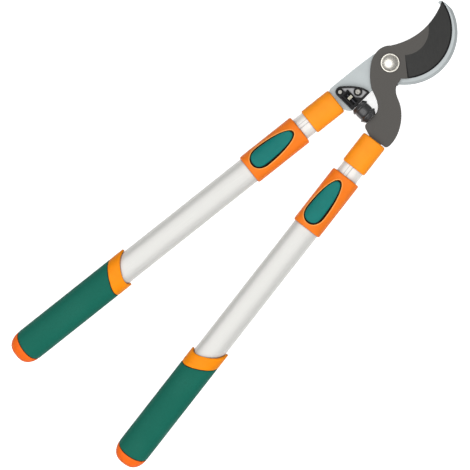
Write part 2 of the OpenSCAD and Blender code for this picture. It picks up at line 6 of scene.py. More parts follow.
import bmesh
import bpy
from mathutils import Matrix, Vector
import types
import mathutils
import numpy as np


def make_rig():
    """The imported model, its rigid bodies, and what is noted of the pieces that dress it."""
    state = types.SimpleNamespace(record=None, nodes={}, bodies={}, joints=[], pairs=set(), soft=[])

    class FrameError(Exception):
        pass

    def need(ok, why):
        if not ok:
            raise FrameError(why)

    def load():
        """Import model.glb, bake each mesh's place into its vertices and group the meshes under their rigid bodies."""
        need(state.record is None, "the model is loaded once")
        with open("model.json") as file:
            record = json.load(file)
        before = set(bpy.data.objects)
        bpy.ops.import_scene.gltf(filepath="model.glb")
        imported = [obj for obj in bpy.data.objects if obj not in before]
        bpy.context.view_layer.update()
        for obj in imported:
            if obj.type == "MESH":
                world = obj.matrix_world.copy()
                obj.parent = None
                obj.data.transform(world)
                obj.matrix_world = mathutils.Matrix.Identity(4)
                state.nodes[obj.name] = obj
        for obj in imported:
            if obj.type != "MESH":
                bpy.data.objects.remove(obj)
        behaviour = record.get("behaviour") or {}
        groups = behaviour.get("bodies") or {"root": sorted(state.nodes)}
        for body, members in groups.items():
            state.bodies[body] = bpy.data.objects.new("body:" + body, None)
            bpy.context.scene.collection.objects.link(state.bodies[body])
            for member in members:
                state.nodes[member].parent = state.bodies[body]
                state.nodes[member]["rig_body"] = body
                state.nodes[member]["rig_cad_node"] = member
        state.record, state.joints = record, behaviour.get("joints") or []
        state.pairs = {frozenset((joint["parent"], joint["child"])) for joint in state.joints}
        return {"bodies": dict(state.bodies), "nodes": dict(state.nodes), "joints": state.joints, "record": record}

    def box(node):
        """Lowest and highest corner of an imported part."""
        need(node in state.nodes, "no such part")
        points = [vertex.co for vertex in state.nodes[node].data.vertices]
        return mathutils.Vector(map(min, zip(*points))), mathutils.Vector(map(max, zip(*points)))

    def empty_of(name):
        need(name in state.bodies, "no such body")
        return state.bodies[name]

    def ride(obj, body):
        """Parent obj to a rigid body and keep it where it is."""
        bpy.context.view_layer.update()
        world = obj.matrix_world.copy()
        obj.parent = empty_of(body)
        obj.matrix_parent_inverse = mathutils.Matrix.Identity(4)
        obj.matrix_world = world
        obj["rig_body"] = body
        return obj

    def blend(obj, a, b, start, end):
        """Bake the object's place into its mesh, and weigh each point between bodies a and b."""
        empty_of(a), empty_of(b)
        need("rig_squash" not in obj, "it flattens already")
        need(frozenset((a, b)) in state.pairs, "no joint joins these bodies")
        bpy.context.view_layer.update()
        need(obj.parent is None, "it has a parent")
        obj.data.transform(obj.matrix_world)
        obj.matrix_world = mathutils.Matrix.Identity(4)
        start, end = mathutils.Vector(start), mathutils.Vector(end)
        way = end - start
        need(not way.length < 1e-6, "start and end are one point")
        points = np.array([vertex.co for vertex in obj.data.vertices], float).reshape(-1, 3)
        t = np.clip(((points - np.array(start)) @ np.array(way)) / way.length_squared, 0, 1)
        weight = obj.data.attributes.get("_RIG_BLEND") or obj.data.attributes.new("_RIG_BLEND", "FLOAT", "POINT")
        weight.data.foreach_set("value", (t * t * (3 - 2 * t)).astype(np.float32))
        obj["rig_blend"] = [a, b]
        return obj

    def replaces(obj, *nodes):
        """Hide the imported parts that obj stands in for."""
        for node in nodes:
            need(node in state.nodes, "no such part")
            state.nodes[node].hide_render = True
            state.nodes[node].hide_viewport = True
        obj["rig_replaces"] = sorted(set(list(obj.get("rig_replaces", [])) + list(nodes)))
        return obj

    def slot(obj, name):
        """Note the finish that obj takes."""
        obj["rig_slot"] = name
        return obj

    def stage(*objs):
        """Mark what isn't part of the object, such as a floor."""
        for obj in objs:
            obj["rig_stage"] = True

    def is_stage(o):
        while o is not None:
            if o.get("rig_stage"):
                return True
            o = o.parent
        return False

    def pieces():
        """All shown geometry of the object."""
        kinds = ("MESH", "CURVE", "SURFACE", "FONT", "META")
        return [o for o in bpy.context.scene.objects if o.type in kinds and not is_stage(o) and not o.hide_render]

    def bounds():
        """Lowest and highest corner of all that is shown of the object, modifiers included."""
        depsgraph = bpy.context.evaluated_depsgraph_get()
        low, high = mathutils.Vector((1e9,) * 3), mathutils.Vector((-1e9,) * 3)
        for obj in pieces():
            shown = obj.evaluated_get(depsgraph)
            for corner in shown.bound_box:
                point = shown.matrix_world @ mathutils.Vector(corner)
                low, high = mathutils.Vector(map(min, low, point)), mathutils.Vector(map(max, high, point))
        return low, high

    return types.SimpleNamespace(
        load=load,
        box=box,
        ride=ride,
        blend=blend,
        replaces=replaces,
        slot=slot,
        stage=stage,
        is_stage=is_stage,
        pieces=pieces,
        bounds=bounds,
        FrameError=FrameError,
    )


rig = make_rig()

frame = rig.load()
cad_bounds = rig.bounds()
nodes = frame["nodes"]
joints = {joint["name"]: joint for joint in frame["joints"]}

MM = 0.001
UP = Vector((0, 0, 1))
SIDES = ("left", "right")

# Shared section: a superellipse, a touch squarer than an ellipse
SQUARENESS = 2.35
AROUND = 96

# Sizes of pieces are in millimetres. On a handle, U is across it, V is down it from the pivot, and Z is up
# from its middle plane. A pair is a section's width and height, and a span is its first and last V.

# Tubes and ferrules
INNER_TUBE = (28.6, 18.6)
OUTER_TUBE = (33.4, 23.4)
FERRULE = (32.4, 25.0)
FERRULE_SPAN = (78.5, 120.0)
FERRULE_ROUNDING = 2.2
BORE_PLAY = 0.5

# Collar: outside, recess floor with its flat ledge, and bore, with its gap round each tube, how far in from
# the collar's start it gets that gap, and where it steps out to the outer tube
COLLAR = (38.0, 30.0)
COLLAR_SPAN = (134.0, 212.0)
COLLAR_ROUNDING = 2.0
COLLAR_FLOOR = (30.2, 19.2)
COLLAR_LEDGE = 6.8
BORE_GAP, OUTER_GAP = 0.2, 0.1
BORE_MOUTH, BORE_STEP_V = 4.0, 207.5

# The pin that the button rocks on, its two ears, and the leaf spring with its seat
PRESS_U, PRESS_V, PRESS_Z = -2.8, 170.0, 10.35
EAR_HALF = (1.0, 2.4)
EAR_OFFSET = 4.0
EAR_RISE = 1.2
SEAT_HALF_WIDTH = 3.2
SEAT_V, SPRING_BEND_V, SPRING_TIP_V = 175.0, 180.0, 199.0
SEAT_MARGIN = 0.5
SPRING_WIDTH, SPRING_THICK = 5.0, 0.4
SPRING_Z, SPRING_TIP_Z = 10.3, 11.5
FOOT_GAP = 0.05

# Release button and its egg-shaped outline
BUTTON_U = -3.0
BUTTON_HEAD_V, BUTTON_WIDEST_V, BUTTON_TAIL_V = 142.0, 190.0, 206.0
BUTTON_HALF_WIDTH = 12.8
BUTTON_GAP = 2.2
BUTTON_SHIFT = -0.45
BUTTON_TOP = (38.6, 30.6)
BUTTON_SIDE_FALL = 0.35
BUTTON_UNDER = (36.0, 26.4)
BUTTON_UNDER_LEDGE = 8.9
BUTTON_SKIRT = 0.15
RIB_HALF = (2.8, 2.2)
RIB_BELOW_PIN, RIB_OVERLAP = 0.4, 0.5

# Grip: its slanting boundaries are a base V, a lean across U and a rise with Z, blunt in the middle
GRIP = (40.0, 32.0)
GRIP_END, GRIP_DOME_V = 569.0, 546.0
GRIP_DOME_POWERS = (0.85, 0.75)
GRIP_BORE_END = 556.0
MOUTH_V, MOUTH_LEAN, MOUTH_RISE = 396.0, 0.45, 0.72
BAND_V, BAND_LEAN, BAND_RISE = 416.5, 0.45, 0.55
CAP_V, CAP_LEAN, CAP_RISE = 547.5, 0.05, 0.63
BLUNT = 3.0
SLEEVE_SUNK = 0.9

# How far the rubber bumper stands out past its CAD node
BUMPER_REACH = 0.25

# The world's strength at two heights of the direction looked in
SKY_HEIGHTS = (-0.1, 0.6)
SKY_STRENGTHS = (0.1, 0.42)

# Floor: half its side in metres, how far in millimetres it lies under the loppers, and its own glow
FLOOR_HALF_SIZE = 4.0
FLOOR_DROP = 0.5
FLOOR_GLOW = 0.6

# Camera: its turn about the vertical, and in metres its height over the handles, the width that it sees
# there, and what it aims at, to the view's right of the pivot and above it
CAMERA_TURN = math.radians(45.25)
CAMERA_DISTANCE, CAMERA_FIELD = 5.724, 0.5634
CAMERA_AIM_RIGHT, CAMERA_AIM_ABOVE = -0.18575, -0.2061


# ---------- geometry helpers ----------

def signed_power(x, exponent):
    """A power that keeps the sign of x."""
    return math.copysign(abs(x) ** exponent, x)


def oval_point(size, angle):
    """Point at an angle of the superellipse of that width and height."""
    exponent = 2 / SQUARENESS
    return (size[0] / 2 * signed_power(math.cos(angle), exponent),
            size[1] / 2 * signed_power(math.sin(angle), exponent))


def oval_height(size, u):
    """Height of the superellipse's top at u."""
    reach = max(0.0, 1 - abs(2 * u / size[0]) ** SQUARENESS)
    return size[1] / 2 * reach ** (1 / SQUARENESS)


def oval_normal(size, u):
    """Upward unit normal of the superellipse's top at u, as (across, up)."""
    step = 0.05
    slope = (oval_height(size, u + step) - oval_height(size, u - step)) / (2 * step)
    length = math.hypot(slope, 1)
    return -slope / length, 1 / length


def bezier(a, b, c, d, steps):
    """Points of a cubic curve from a to d, without the last one."""
    points = []
    for i in range(steps):
        t = i / steps
        s = 1 - t
        weights = (s ** 3, 3 * s * s * t, 3 * s * t * t, t ** 3)
        points.append(tuple(sum(w * p[k] for w, p in zip(weights, (a, b, c, d))) for k in (0, 1)))
    return points


def make_object(name, verts, faces, material, sharp_angle=35, painted_light=None):
    """Builds a smooth piece; the last argument gives some vertices' painted light, from -1, painted shade, to 1, a
    painted highlight.
    """
    mesh = bpy.data.meshes.new(name)
    mesh.from_pydata([tuple(v) for v in verts], [], faces)
    if painted_light:
        painted_light_value = mesh.attributes.new("painted_light", "FLOAT", "POINT")
        for index, value in painted_light.items():
            painted_light_value.data[index].value = value
    mesh.validate()
    mesh.update()
    piece = bpy.data.objects.new(name, mesh)
    bpy.context.scene.collection.objects.link(piece)
    mesh.materials.append(material)
    for polygon in mesh.polygons:
        polygon.use_smooth = True
    mesh.set_sharp_from_angle(angle=math.radians(sharp_angle))
    return piece


def orient_outward(piece):
    """Turns the faces of a closed mesh so that their normals point out."""
    bm = bmesh.new()
    bm.from_mesh(piece.data)
    bmesh.ops.recalc_face_normals(bm, faces=bm.faces)
    bm.to_mesh(piece.data)
    bm.free()
    return piece


class Sheet:
    """Vertices and faces gathered ring by ring."""

    def __init__(self):
        self.verts = []
        self.faces = []

    def add(self, points):
        """Adds points and returns their indices."""
        start = len(self.verts)
        self.verts.extend(points)
        return list(range(start, len(self.verts)))

    def bridge(self, ring_a, ring_b, closed=True):
        """Joins two rings of indices with quads."""
        count = len(ring_a)
        for i in range(count if closed else count - 1):
            j = (i + 1) % count
            self.faces.append((ring_a[i], ring_a[j], ring_b[j], ring_b[i]))

    def loft(self, rings):
        """Skins closed rings of points in turn and returns the first and last ring's indices."""
        indices = [self.add(ring) for ring in rings]
        for a, b in zip(indices, indices[1:]):
            self.bridge(a, b)
        return indices[0], indices[-1]

    def cap(self, ring):
        """Closes a ring with one face."""
        self.faces.append(tuple(ring))


class Handle:
    """A handle's own frame, rebuilt from its joints: u across, v down the handle, z from its middle plane."""

    def __init__(self, side):
        slide = joints[f"{side}_handle_slide"]
        press = joints[f"{side}_button_press"]
        self.down = Vector(slide["axis"]).normalized()
        self.across = Vector(press["axis"]).normalized()
        self.origin = (Vector(press["pos_m"]) - self.across * PRESS_U * MM
                       - self.down * PRESS_V * MM - UP * PRESS_Z * MM)
        self.turn = math.atan2(self.down.x, -self.down.y)
        self.lean = 1 if side == "left" else -1

    def place(self, u, v, z):
        """Turns a point of the handle's frame into one of the scene."""
        return self.origin + (self.across * u + self.down * v + UP * z) * MM

    def ring(self, size, v, inset=0.0):
        """A section of the handle at v, drawn in by inset."""
        inner = (size[0] - 2 * inset, size[1] - 2 * inset)
        points = []
        for i in range(AROUND):
            u, z = oval_point(inner, math.tau * i / AROUND)
            points.append(self.place(u, v, z))
        return points


def fillet(radius):
    """(inset, distance from the end) along a quarter round, from the end face to the side."""
    steps = 5
    quarter = [math.radians(90) * i / steps for i in range(steps + 1)]
    return [(radius * (1 - math.sin(a)), radius * (1 - math.cos(a))) for a in quarter]


def block(sheet, handle, u_span, v_span, z_span):
    """Adds a closed block, given by its spans in the handle's frame."""
    (u_low, u_high), (v_low, v_high) = u_span, v_span
    corners = [(u_low, v_low), (u_high, v_low), (u_high, v_high), (u_low, v_high)]
    rings = [[handle.place(u, v, z) for u, v in corners] for z in z_span]
    for ring in sheet.loft(rings):
        sheet.cap(ring)


def egg_outline(inset):
    """Outline of the button, from its narrow head round its right side and back; its width is mirrored."""
    wide = BUTTON_HALF_WIDTH - inset
    head, tail = BUTTON_HEAD_V + inset, BUTTON_TAIL_V - inset
    half = bezier((0, head), (8, head), (wide, 167), (wide, BUTTON_WIDEST_V), 26)
    half += bezier((wide, BUTTON_WIDEST_V), (wide, 199), (7.5, tail), (0, tail), 14)
    mirrored = [(-u, v) for u, v in reversed(half[1:])]
    return [(BUTTON_U + u, v) for u, v in half + [(0, tail)] + mirrored]


def fill_egg(sheet, ring, outline, height, place):
    """Fills an egg outline with rows across it, each point lifted to height(u)."""
    columns = 8
    count = len(outline)
    half = count // 2
    rows = []
    for j in range(1, half):
        right, left = outline[j], outline[count - j]
        row = [ring[j]]
        inner = []
        for k in range(1, columns):
            t = k / columns
            u = right[0] + (left[0] - right[0]) * t
            v = right[1] + (left[1] - right[1]) * t
            inner.append(place(u, v, height(u)))
        row += sheet.add(inner)
        row.append(ring[count - j])
        rows.append(row)
    for a, b in zip(rows, rows[1:]):
        sheet.bridge(a, b, closed=False)
    for k in range(columns):
        sheet.faces.append((ring[0], rows[0][k], rows[0][k + 1]))
        sheet.faces.append((ring[half], rows[-1][k + 1], rows[-1][k]))


def turned(name, profile, origin, axis, material, segments=72, sharp_angle=35):
    """A lathe shape: profile is (radius, distance along the axis), starting and ending on the axis."""
    axis = axis.normalized()
    side = axis.orthogonal().normalized()
    other = axis.cross(side)
    sheet = Sheet()
    rings = []
    for radius, along in profile[1:-1]:
        points = []
        for i in range(segments):
            a = math.tau * i / segments
            offset = side * math.cos(a) * radius + other * math.sin(a) * radius + axis * along
            points.append(origin + offset * MM)
        rings.append(points)
    first, last = sheet.loft(rings)
    for ring, along in ((first, profile[0][1]), (last, profile[-1][1])):
        centre = sheet.add([origin + axis * along * MM])[0]
        for i in range(segments):
            sheet.faces.append((ring[i], ring[(i + 1) % segments], centre))
    return orient_outward(make_object(name, sheet.verts, sheet.faces, material, sharp_angle))


# ---------- materials ----------

class Shader:
    """A small helper around one material's node tree."""

    def __init__(self, name, roughness, metallic=0.0, specular=0.5, sheen=0.0):
        self.material = bpy.data.materials.new(name)
        self.material.use_nodes = True
        self.tree = self.material.node_tree
        self.surface = self.tree.nodes["Principled BSDF"]
        self.surface.inputs["Roughness"].default_value = roughness
        self.surface.inputs["Metallic"].default_value = metallic
        self.surface.inputs["Specular IOR Level"].default_value = specular
        self.surface.inputs["Sheen Weight"].default_value = sheen
        self.coordinates = self.node("ShaderNodeTexCoord").outputs["Object"]

    def node(self, kind, **settings):
        """Adds a node and sets its properties."""
        node = self.tree.nodes.new(kind)
        for key, value in settings.items():
            setattr(node, key, value)
        return node

    def link(self, source, target):
        self.tree.links.new(source, target)

    def noise(self, size, detail=3.0, roughness=0.5, stretch=None, turn=0.0):
        """Noise with features of about size millimetres.

        stretch lengthens them along Y, after a turn about Z."""
        source = self.coordinates
        if turn:
            spin = self.node("ShaderNodeVectorRotate", rotation_type="Z_AXIS")
            spin.inputs["Angle"].default_value = -turn
            self.link(source, spin.inputs["Vector"])
            source = spin.outputs["Vector"]
        if stretch:
            mapping = self.node("ShaderNodeMapping")
            mapping.inputs["Scale"].default_value = (1, 1 / stretch, 1)
            self.link(source, mapping.inputs["Vector"])
            source = mapping.outputs["Vector"]
        noise = self.node("ShaderNodeTexNoise")
        noise.inputs["Scale"].default_value = 1 / (size * MM)
        noise.inputs["Detail"].default_value = detail
        noise.inputs["Roughness"].default_value = roughness
        self.link(source, noise.inputs["Vector"])
        return noise.outputs["Fac"]

    def spread(self, source, low, high, out_low=0.0, out_high=1.0):
        """Maps the part of source between low and high onto a new range."""
        ranged = self.node("ShaderNodeMapRange")
        for key, value in (("From Min", low), ("From Max", high), ("To Min", out_low), ("To Max", out_high)):
            ranged.inputs[key].default_value = value
        self.link(source, ranged.inputs["Value"])
        return ranged.outputs["Result"]

    def mix(self, factor, a, b):
        """Mixes two colours, each an RGB tuple or a socket."""
        mix = self.node("ShaderNodeMix", data_type="RGBA")
        self.link(factor, mix.inputs["Factor"])
        for colour, socket in ((a, mix.inputs[6]), (b, mix.inputs[7])):
            if isinstance(colour, tuple):
                socket.default_value = (*colour, 1)
            else:
                self.link(colour, socket)
        return mix.outputs[2]

    def tint(self, colour, factor):
        """A colour, given as an RGB tuple or a socket, made lighter or darker."""
        if isinstance(colour, tuple):
            return lighter(colour, factor)
        scaled = self.node("ShaderNodeVectorMath", operation="SCALE")
        scaled.inputs["Scale"].default_value = factor
        self.link(colour, scaled.inputs[0])
        return scaled.outputs["Vector"]

    def crevice_shade_mask(self, distance):
        """1 in narrow grooves and corners, where shade is painted, 0 in the open."""
        occlusion = self.node("ShaderNodeAmbientOcclusion", samples=8)
        occlusion.inputs["Distance"].default_value = distance * MM
        return self.spread(occlusion.outputs["AO"], 0.95, 0.45)

    def edge_mask(self, radius, low=0.02, high=0.3):
        """1 along convex and concave edges, 0 on open faces, from how far a rounded normal leans away."""
        rounded = self.node("ShaderNodeBevel", samples=6)
        rounded.inputs["Radius"].default_value = radius * MM
        geometry = self.node("ShaderNodeNewGeometry")
        dot = self.node("ShaderNodeVectorMath", operation="DOT_PRODUCT")
        self.link(rounded.outputs["Normal"], dot.inputs[0])
        self.link(geometry.outputs["Normal"], dot.inputs[1])
        return self.spread(dot.outputs["Value"], 1 - low, 1 - high)

    def height(self, axis=2):
        """A coordinate of the point in metres, Z unless another axis is given."""
        split = self.node("ShaderNodeSeparateXYZ")
        self.link(self.coordinates, split.inputs["Vector"])
        return split.outputs[axis]

    def bump(self, source, strength, depth, rounded=0.0):
        """Bumps the surface by depth millimetres, over a normal rounded at the edges by that radius."""
        bump = self.node("ShaderNodeBump")
        bump.inputs["Strength"].default_value = strength
        bump.inputs["Distance"].default_value = depth * MM
        self.link(source, bump.inputs["Height"])
        if rounded:
            bevel = self.node("ShaderNodeBevel", samples=6)
            bevel.inputs["Radius"].default_value = rounded * MM
            self.link(bevel.outputs["Normal"], bump.inputs["Normal"])
        self.link(bump.outputs["Normal"], self.surface.inputs["Normal"])

    def set(self, name, source):
        """Feeds one of the surface's inputs."""
        self.link(source, self.surface.inputs[name])


def lighter(colour, factor):
    """A colour scaled by factor, which may also be below 1."""
    return tuple(min(1.0, c * factor) for c in colour)


def moulded_plastic(name, colour, roughness, grain=0.45, far_colour=None):
    """Injection moulded plastic: spark-eroded grain, slight flow marks, painted shade along edges, painted highlights
    on raised lips and painted shade in recesses and grooves.

    far_colour is what the colour turns to between two values of Y, in metres, near the handles' far end."""
    far_start, far_end = -0.46, -0.53
    shader = Shader(name, roughness, specular=0.13)
    base = colour
    if far_colour:
        base = shader.mix(shader.spread(shader.height(axis=1), far_start, far_end), colour, far_colour)
    flow = shader.spread(shader.noise(14, detail=2), 0.35, 0.65)
    body = shader.mix(flow, shader.tint(base, 0.93), base)
    # painted shade: edges and corners darkened
    edge_shaded = shader.mix(shader.edge_mask(0.7), body, shader.tint(base, 0.72))
    # the vertex values paint light: above 0 a pale painted highlight, below 0 a near-black painted shade
    painted_light_value = shader.node("ShaderNodeAttribute", attribute_name="painted_light").outputs["Fac"]
    pale = tuple(c + (1 - c) * share for c, share in zip(colour, (0.6, 0.3, 0.1)))
    painted_light = shader.mix(shader.spread(painted_light_value, 0, 1), edge_shaded, pale)
    # near-black colour of the painted shade
    painted_shade = tuple(c * 0.04 + 0.003 for c in colour)
    shader.set("Base Color", shader.mix(shader.spread(painted_light_value, 0, -1), painted_light, painted_shade))
    scuffs = shader.noise(2.2, detail=5, roughness=0.7)
    shader.set("Roughness", shader.spread(scuffs, 0.3, 0.7, roughness - 0.06, roughness + 0.08))
    shader.bump(shader.noise(grain, detail=2), 0.35, 0.02)
    return shader.material


def brushed_metal(name, colour, roughness, metallic, turn=0.0, streak=0.5):
    """Metal with fine lines along one direction, cloudy handling marks, brighter edges and painted shade in grooves
    and corners.
    """
    shader = Shader(name, roughness, metallic=metallic)
    lines = shader.noise(streak, detail=4, roughness=0.6, stretch=60, turn=turn)
    clouds = shader.noise(22, detail=3)
    toned = shader.mix(shader.spread(lines, 0.3, 0.7), lighter(colour, 0.9), colour)
    clouded = shader.mix(shader.spread(clouds, 0.4, 0.75), toned, lighter(colour, 0.95))
    bright = shader.mix(shader.edge_mask(0.4), clouded, lighter(colour, 1.15))
    # painted shade: grooves and corners darkened by ambient occlusion
    shader.set("Base Color", shader.mix(shader.crevice_shade_mask(1.5), bright, lighter(colour, 0.3)))
    shader.set("Roughness", shader.spread(lines, 0.3, 0.7, roughness - 0.05, roughness + 0.07))
    shader.bump(lines, 0.25, 0.009, rounded=0.3)
    return shader.material


def hook_steel():
    """Bead-blasted steel: pale blue-grey with fine speckle, cloudy patches and brighter edges."""
    colour = (0.405, 0.437, 0.442)
    shader = Shader("hook_steel", 0.42, metallic=0.35, specular=0.4)
    speckle = shader.spread(shader.noise(0.5, detail=4, roughness=0.7), 0.35, 0.65)
    clouds = shader.spread(shader.noise(18, detail=2), 0.4, 0.7)
    toned = shader.mix(speckle, lighter(colour, 0.9), lighter(colour, 1.06))
    clouded = shader.mix(clouds, toned, lighter(colour, 0.93))
    shader.set("Base Color", shader.mix(shader.edge_mask(0.35), clouded, lighter(colour, 1.25)))
    shader.set("Roughness", shader.spread(speckle, 0, 1, 0.36, 0.5))
    shader.bump(shader.noise(0.35, detail=2), 0.3, 0.02, rounded=0.3)
    return shader.material


def coated_blade():
    """Non-stick coated blade: warm grey, with a dark cutting edge, painted shade along its edges and a darker bevel
    that shows grinding lines.
    """
    body, ground, edge = (0.08, 0.075, 0.069), (0.028, 0.028, 0.027), (0.006, 0.006, 0.007)
    blade_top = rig.box("cutting_blade")[1].z
    shader = Shader("coated_blade", 0.46, specular=0.18)

    def deeper_than(start, end):
        """1 below the deeper of two distances under the blade's top, 0 above the other."""
        return shader.spread(shader.height(), blade_top - end * MM, blade_top - start * MM, 1, 0)

    below_top = deeper_than(0.04, 0.12)
    near_edge = deeper_than(2.85, 3.1)
    mottled = shader.spread(shader.noise(0.7, detail=5, roughness=0.7), 0.3, 0.7)
    face = shader.mix(mottled, lighter(body, 0.92), lighter(body, 1.08))
    lines = shader.noise(0.45, detail=3, stretch=30, turn=0.9)
    bevel = shader.mix(shader.spread(lines, 0.3, 0.7), lighter(ground, 0.85), lighter(ground, 1.15))
    both = shader.mix(below_top, face, bevel)
    dark = shader.mix(near_edge, both, edge)
    # painted shade: the blade's edges and corners darkened
    shader.set("Base Color", shader.mix(shader.edge_mask(0.45, 0.05, 0.4), dark, lighter(body, 0.35)))
    shader.set("Roughness", shader.spread(mottled, 0, 1, 0.4, 0.54))
    shader.bump(shader.noise(0.25, detail=3), 0.25, 0.015, rounded=0.25)
    return shader.material


def plated_metal(name, colour, roughness):
    """Plated or bare metal with faint hairlines and a darker speckle."""
    shader = Shader(name, roughness, metallic=1.0)
    hairlines = shader.noise(0.6, detail=5, roughness=0.65, stretch=12, turn=0.6)
    speckle = shader.noise(1.5, detail=6, roughness=0.75)
    toned = shader.mix(shader.spread(speckle, 0.4, 0.6), lighter(colour, 0.66), colour)
    shader.set("Base Color", toned)
    shader.set("Roughness", shader.spread(hairlines, 0.3, 0.7, roughness - 0.08, roughness + 0.12))
    shader.bump(speckle, 0.4, 0.06, rounded=0.15)
    return shader.material


def rubber(name, colour, roughness, specular=0.22):
    """Black rubber or nylon: faint bloom, a soft gloss and a fine matte grain."""
    shader = Shader(name, roughness, specular=specular)
    bloom = shader.spread(shader.noise(5, detail=4), 0.4, 0.75)
    shader.set("Base Color", shader.mix(bloom, colour, lighter(colour, 1.7)))
    smears = shader.noise(1.2, detail=4)
    shader.set("Roughness", shader.spread(smears, 0.3, 0.7, roughness - 0.06, roughness + 0.1))
    shader.bump(shader.noise(0.3, detail=2), 0.3, 0.02, rounded=0.3)
    return shader.material


def soft_touch(name, colour):
    """Soft sleeve: dense pebble grain with a dull sheen and slightly polished patches from the hand."""
    shader = Shader(name, 0.62, specular=0.14, sheen=0.03)
    shader.surface.inputs["Sheen Roughness"].default_value = 0.5
    patches = shader.spread(shader.noise(38, detail=2), 0.38, 0.7)
    cells = shader.node("ShaderNodeTexVoronoi", feature="SMOOTH_F1")
    cells.inputs["Scale"].default_value = 1 / (0.9 * MM)
    shader.link(shader.coordinates, cells.inputs["Vector"])
    pebble = cells.outputs["Distance"]
    toned = shader.mix(patches, colour, lighter(colour, 1.1))
    shader.set("Base Color", shader.mix(shader.spread(pebble, 0.1, 0.6), toned, lighter(colour, 0.9)))
    shader.set("Roughness", shader.spread(patches, 0, 1, 0.66, 0.54))
    shader.bump(pebble, 0.3, 0.06)
    return shader.material


handles = {side: Handle(side) for side in SIDES}
steel = hook_steel()
blade_coat = coated_blade()
nickel = plated_metal("nickel", (0.86, 0.83, 0.76), 0.34)
zinc = plated_metal("zinc_plate", (0.4, 0.38, 0.31), 0.42)
plated = plated_metal("plated_steel", (0.33, 0.32, 0.29), 0.36)
blued = plated_metal("blued_steel", (0.045, 0.045, 0.05), 0.4)
bronze = plated_metal("bronze", (0.6, 0.42, 0.22), 0.3)
spring_steel = plated_metal("spring_steel", (0.5, 0.5, 0.52), 0.3)
bracket_black = rubber("bracket_black", (0.006, 0.0055, 0.006), 0.5)
bracket_grey = brushed_metal("bracket_grey", (0.31, 0.31, 0.315), 0.45, metallic=0.4)
bumper_black = rubber("bumper_rubber", (0.018, 0.018, 0.019), 0.3, specular=0.8)
dark_plastic = moulded_plastic("dark_plastic", (0.04, 0.04, 0.042), 0.5)
ferrule_orange = moulded_plastic("ferrule_orange", (0.96, 0.3, 0.012), 0.42)
collar_orange = moulded_plastic("collar_orange", (0.89, 0.197, 0.013), 0.4)
button_teal = moulded_plastic("button_teal", (0.003, 0.172, 0.15), 0.36, grain=0.6)
grip_orange = moulded_plastic("grip_orange", (0.93, 0.27, 0.002), 0.5, far_colour=(0.93, 0.15, 0.01))
grip_green = soft_touch("grip_green", (0.005, 0.127, 0.088))
alloys = {}
for side in SIDES:
    turn = handles[side].turn
    alloys[side] = {
        "inner": brushed_metal(f"{side}_inner_alloy", (0.74, 0.73, 0.7), 0.36, 0.2, turn, streak=0.35),
        "outer": brushed_metal(f"{side}_outer_alloy", (0.64, 0.635, 0.61), 0.42, 0.25, turn, streak=0.4)}


# ---------- materials of the CAD nodes that stay ----------

def dress(node, material):
    """Gives a CAD node its finished material."""
    mesh = nodes[node].data
    mesh.materials.clear()
    mesh.materials.append(material)


SHARED_FINISHES = {
    "hook_blade": steel, "cutting_blade": blade_coat, "pivot_bush": bronze, "front_washer": plated,
    "friction_washer": bronze, "back_washer": plated, "pivot_nut": plated, "bracket_frame": bracket_black,
    "bracket_plate": bracket_grey, "bracket_screw": plated, "bumper_stud": blued, "bumper_nut": zinc}
for node, material in SHARED_FINISHES.items():
    dress(node, material)

for side in SIDES:
    side_finishes = {
        "tang_insert": dark_plastic, "tang_rivet_upper": plated, "tang_rivet_lower": plated,
        "inner_tube": alloys[side]["inner"], "outer_tube": alloys[side]["outer"], "end_plug": dark_plastic,
        "guide_bush": dark_plastic, "lock_pin": plated, "button_pin": plated}
    for part, material in side_finishes.items():
        dress(f"{side}_{part}", material)


# ---------- pivot hardware and bumper ----------

def pivot_bolt_head():
    """Pivot bolt: plain shank, flange with a thin bright lip, and low dome."""
    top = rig.box("pivot_bolt")[1].z / MM
    washer_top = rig.box("front_washer")[1].z / MM
    flange_top = washer_top + 1.3
    dome_r, dome_rise = 9.8, top - flange_top
    sphere = (dome_r ** 2 + dome_rise ** 2) / (2 * dome_rise)
    profile = [(0, 0), (4.6, 0), (5.0, 0.4), (5.0, washer_top), (11.0, washer_top), (11.3, washer_top + 0.3),
               (11.3, flange_top - 0.45), (11.1, flange_top - 0.12), (10.75, flange_top),
               (10.25, flange_top), (10.1, flange_top - 0.25), (9.95, flange_top - 0.3)]
    steps = 12
    for i in range(steps):
        r = dome_r * (1 - i / steps)
        profile.append((r, top - sphere + math.sqrt(sphere ** 2 - r ** 2)))
    profile.append((0, top))
    piece = turned("pivot_bolt_head", profile, Vector((0, 0, 0)), UP, nickel, segments=96)
    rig.ride(piece, "hook_side")
    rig.replaces(piece, "pivot_bolt")
    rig.slot(piece, "nickel")


def moulded_bumper():
    """Ribbed rubber buffer, turned about the stud: base flange, barrel, nose flange and tapered nose."""
    low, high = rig.box("bumper_body")
    centre = Vector((low.x, (low.y + high.y) / 2, (low.z + high.z) / 2))
    length = (high.x - low.x) / MM + BUMPER_REACH
    profile = [(0, 0), (8.1, 0), (8.5, 0.4), (10.9, 3.5), (11.2, 4.0), (11.2, 4.6), (10.9, 5.1), (9.9, 5.7),
               (9.6, 6.2), (9.85, 7.0), (10.0, 8.5), (10.0, 12.6), (9.85, 14.0), (9.6, 14.7), (9.9, 15.2),
               (11.1, 16.0), (11.4, 16.5), (11.4, 17.3), (11.1, 17.9), (10.3, 18.6), (9.9, 18.75),
               (9.75, 19.1), (9.85, 19.4), (9.6, 19.8), (7.9, length - 0.5), (7.4, length - 0.1),
               (6.6, length), (3.2, length), (2.9, length - 0.5), (0, length - 0.5)]
    piece = turned("moulded_bumper", profile, centre, Vector((1, 0, 0)), bumper_black, sharp_angle=50)
    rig.ride(piece, "hook_side")
    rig.replaces(piece, "bumper_body")
    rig.slot(piece, "bumper_rubber")


